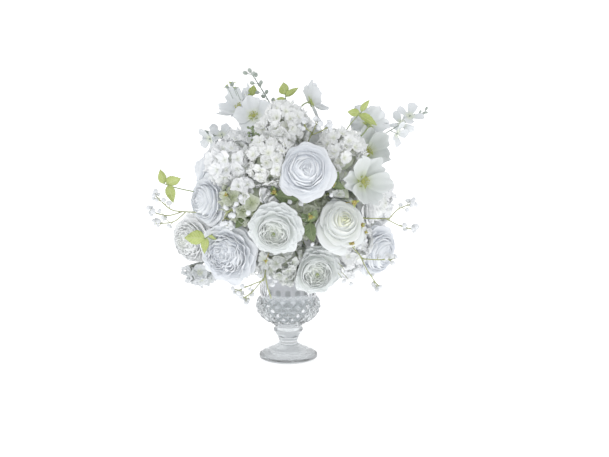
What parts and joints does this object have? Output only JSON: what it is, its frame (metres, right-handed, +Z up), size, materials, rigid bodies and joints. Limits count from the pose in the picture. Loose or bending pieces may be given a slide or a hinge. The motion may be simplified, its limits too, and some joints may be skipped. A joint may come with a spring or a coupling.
{
  "type": "floral table centerpiece",
  "caption": "White artificial flower arrangement of roses, hydrangea and open blossoms with airy sprays, in a footed pressed-glass vase.",
  "frame": {"origin": "centre of the vase's foot, at the table", "axes": "+Z up along the vase's axis, -Y towards the front of the arrangement, +X to the right seen from the front"},
  "size_m": [0.4625, 0.3447, 0.4977],
  "materials": {
    "vase_glass": "clear pressed glass with raised diamonds",
    "foam": "matt white foam",
    "petals_blue_white": "matt cloth petals, cool white",
    "petals_cream_white": "matt cloth petals, white with a cream or pale green middle",
    "petals_white": "matt cloth petals, white",
    "leaves_lime": "satin cloth leaves, lime green",
    "leaves_dark": "satin cloth leaves, muted green",
    "stems": "matt green plastic over wire",
    "buds_grey_green": "matt grey-green",
    "baby_breath": "matt, tiny white flowers on fine yellow-green stalks"
  },
  "bodies": {
    "root": {"rose_upper": "petals_blue_white", "ranunculus_middle": "petals_cream_white", "rose_right": "petals_cream_white", "ranunculus_low": "petals_cream_white", "peony_left": "petals_blue_white", "rose_left": "petals_blue_white", "peony_far_left": "petals_white", "rose_left_upper": "petals_blue_white", "carnation_right": "petals_white", "peony_low_right": "petals_blue_white", "hydrangea_left": "petals_white", "hydrangea_middle": "petals_cream_white", "hydrangea_centre": "petals_white", "hydrangea_top": "petals_cream_white", "hydrangea_right": "petals_cream_white", "hydrangea_inner": "petals_cream_white", "hydrangea_low_left": "petals_white", "hydrangea_low": "petals_cream_white", "hydrangea_low_right": "petals_white", "stock_low_left": "petals_white", "blossom_top_left": "petals_white", "blossom_top": "petals_blue_white", "lily_right": "petals_cream_white", "blossom_right": "petals_white", "rose_back_left": "petals_blue_white", "rose_back": "petals_cream_white", "rose_back_right": "petals_blue_white", "peony_back_top": "petals_white", "peony_back_low": "petals_blue_white", "hydrangea_crown": "petals_white", "hydrangea_back_left": "petals_white", "hydrangea_back_right": "petals_cream_white", "hydrangea_back_low_left": "petals_cream_white", "hydrangea_back_low_right": "petals_white", "hydrangea_side_left": "petals_white", "hydrangea_side_right": "petals_white", "buds_top": "buds_grey_green", "buds_middle": "buds_grey_green", "flower_spike_right": "petals_white", "flower_spike_left": "petals_white", "baby_breath_top": "baby_breath", "baby_breath_left": "baby_breath", "baby_breath_right": "baby_breath", "baby_breath_low_right": "baby_breath", "baby_breath_low_left": "baby_breath", "baby_breath_centre": "baby_breath", "leaves_left": "leaves_lime", "leaves_low_left": "leaves_lime", "leaves_top": "leaves_lime", "leaves_right": "leaves_lime", "leaves_inner_upper": "leaves_dark", "leaves_inner_right": "leaves_dark", "leaves_inner_middle": "leaves_dark", "leaves_back": "leaves_lime", "blossom_tall": "petals_white", "blossom_tall_stem": "stems", "blossom_turned": "petals_white", "blossom_turned_stem": "stems", "foam_ball": "foam", "vase": "vase_glass"}
  },
  "joints": []
}
